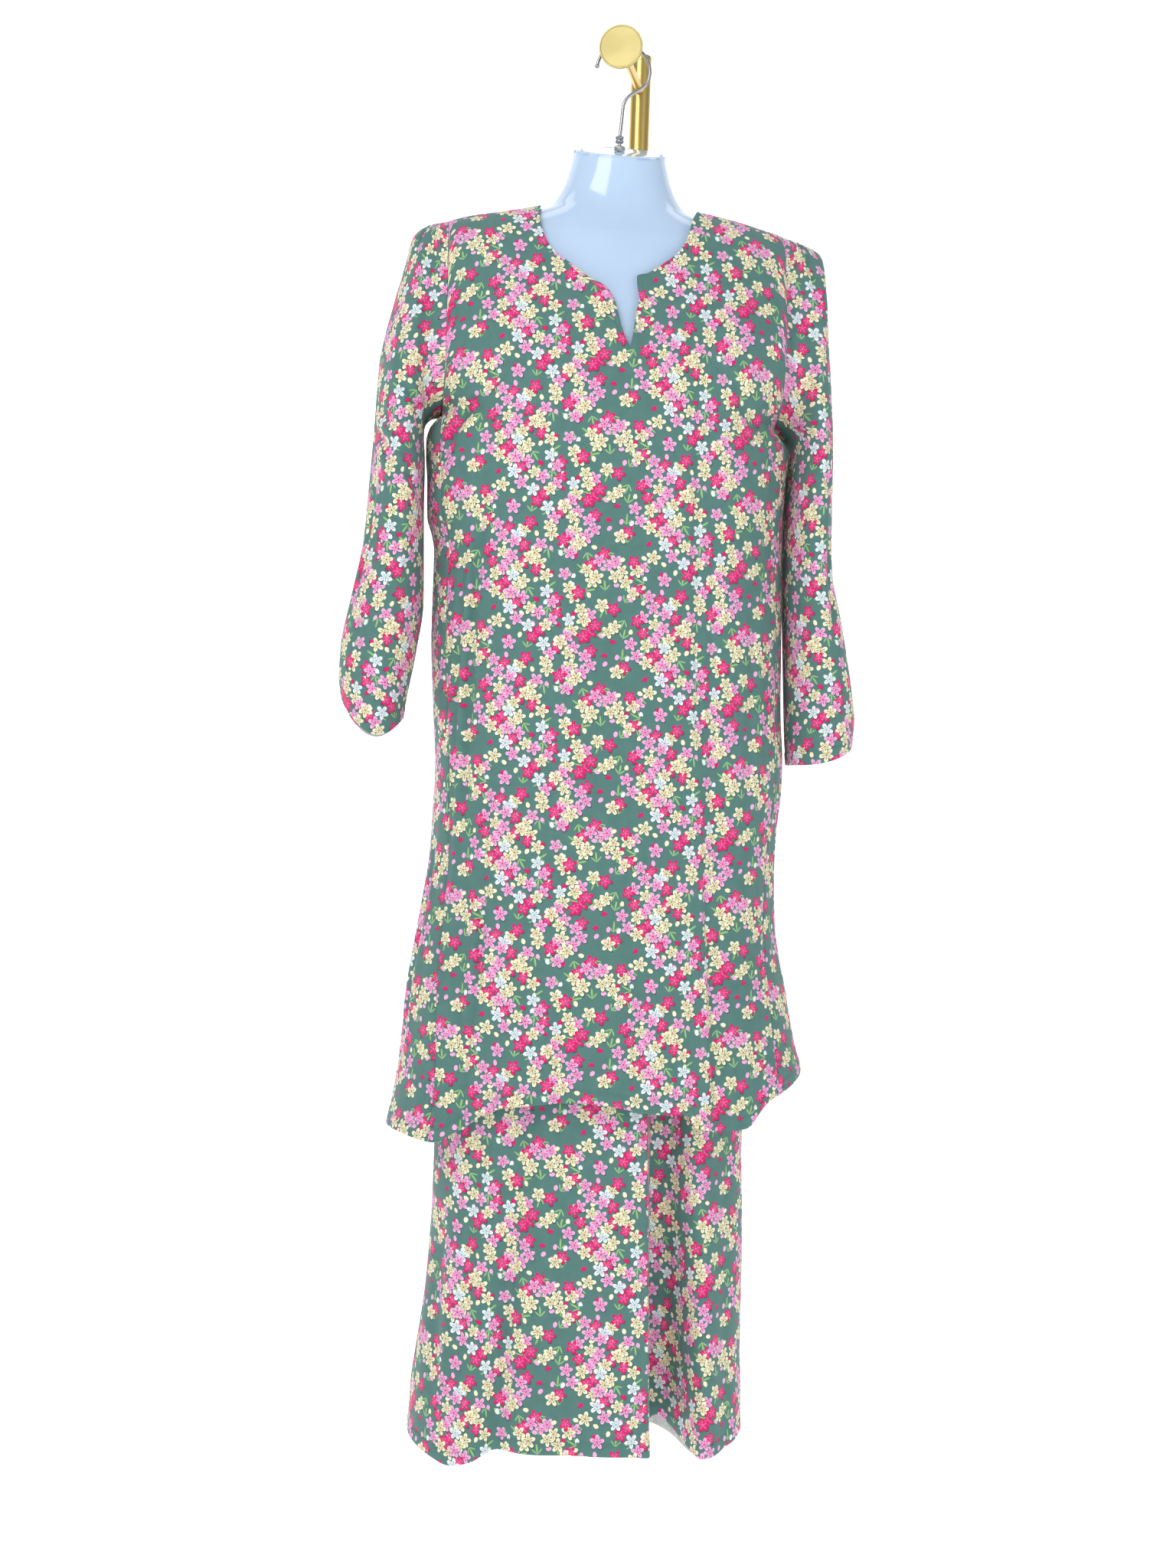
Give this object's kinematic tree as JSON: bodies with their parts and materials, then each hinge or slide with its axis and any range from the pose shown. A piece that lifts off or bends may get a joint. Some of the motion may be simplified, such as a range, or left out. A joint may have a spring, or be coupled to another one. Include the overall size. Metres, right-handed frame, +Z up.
{
  "type": "baju kurung on a limbless hanging dress form",
  "caption": "Printed baju kurung, a long-sleeved tunic over an ankle skirt, filled out on a limbless hanging torso form whose wire hook hangs from a short arm on a post.",
  "frame": {"origin": "centre of the flat lower end of the upright post that carries the hanging form", "axes": "+Z up, along the post; -Y is the garment's front; +X is to the right of someone who looks at the front"},
  "size_m": [0.538, 0.2631, 1.5318],
  "materials": {
    "printed_cloth": "matte flower print",
    "milky_plastic": "gloss, milky blue-white",
    "chrome_wire": "polished",
    "steel_nut": "zinc plated",
    "satin_gold": "satin gold plate",
    "pale_gold": "matte pale gold"
  },
  "bodies": {
    "root": {"tunic_front": "printed_cloth", "tunic_back": "printed_cloth", "gore_left": "printed_cloth", "gore_right": "printed_cloth", "sleeve_left": "printed_cloth", "sleeve_right": "printed_cloth", "skirt_front": "printed_cloth", "skirt_back": "printed_cloth", "skirt_waistband": "printed_cloth", "dress_form": "milky_plastic", "neck_nut": "steel_nut", "hook_wire": "chrome_wire", "stem_collar": "chrome_wire", "rail_post": "satin_gold", "rail_arm": "satin_gold", "arm_disc": "pale_gold"}
  },
  "joints": []
}
